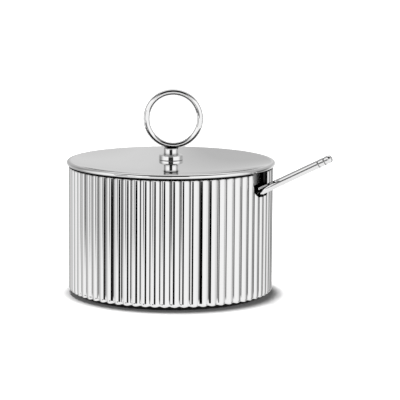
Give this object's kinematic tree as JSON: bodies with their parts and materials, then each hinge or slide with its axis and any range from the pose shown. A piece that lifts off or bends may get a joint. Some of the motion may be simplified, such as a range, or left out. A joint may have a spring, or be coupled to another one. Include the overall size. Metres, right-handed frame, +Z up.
{
  "type": "silver sugar bowl",
  "caption": "Fluted silver drum for sugar, with a dished lid, a finger ring on a turned stem, and a straight spoon that leaves through a notch in the rim.",
  "frame": {"origin": "centre of the foot's underside, on the bowl's axis", "axes": "+Z up along the bowl's axis, +X towards the middle of the rim notch, where the spoon's handle comes out"},
  "size_m": [0.1371, 0.102, 0.1004],
  "materials": {
    "silver": "mirror polished",
    "liner": "fine turned satin",
    "plain_steel": "plain, unpolished",
    "foot": "matt black"
  },
  "bodies": {
    "bowl": {"fluted_shell": "silver", "bowl_liner": "liner", "base_plate": "plain_steel", "foot_pad": "foot"},
    "lid_ring": {"lid_skirt": "silver"},
    "lid": {"lid_plate": "silver", "finial_washer": "plain_steel", "finial_screw": "plain_steel", "finial_stem": "silver", "finial_ring": "silver"},
    "spoon": {"spoon_handle": "silver", "spoon_bowl": "silver"}
  },
  "joints": [
    {"name": "lid_lift", "type": "slide", "parent": "bowl", "child": "lid_ring", "axis": [0, 0, 1], "range_m": [0, 0.08]},
    {"name": "lid_turn", "type": "hinge", "parent": "lid_ring", "child": "lid", "pos_m": [0, 0, 0.0629], "axis": [0, 0, 1], "continuous": true},
    {"name": "spoon_draw", "type": "slide", "parent": "bowl", "child": "spoon", "axis": [0.8926, 0, 0.4509], "range_m": [0, 0.045]}
  ]
}
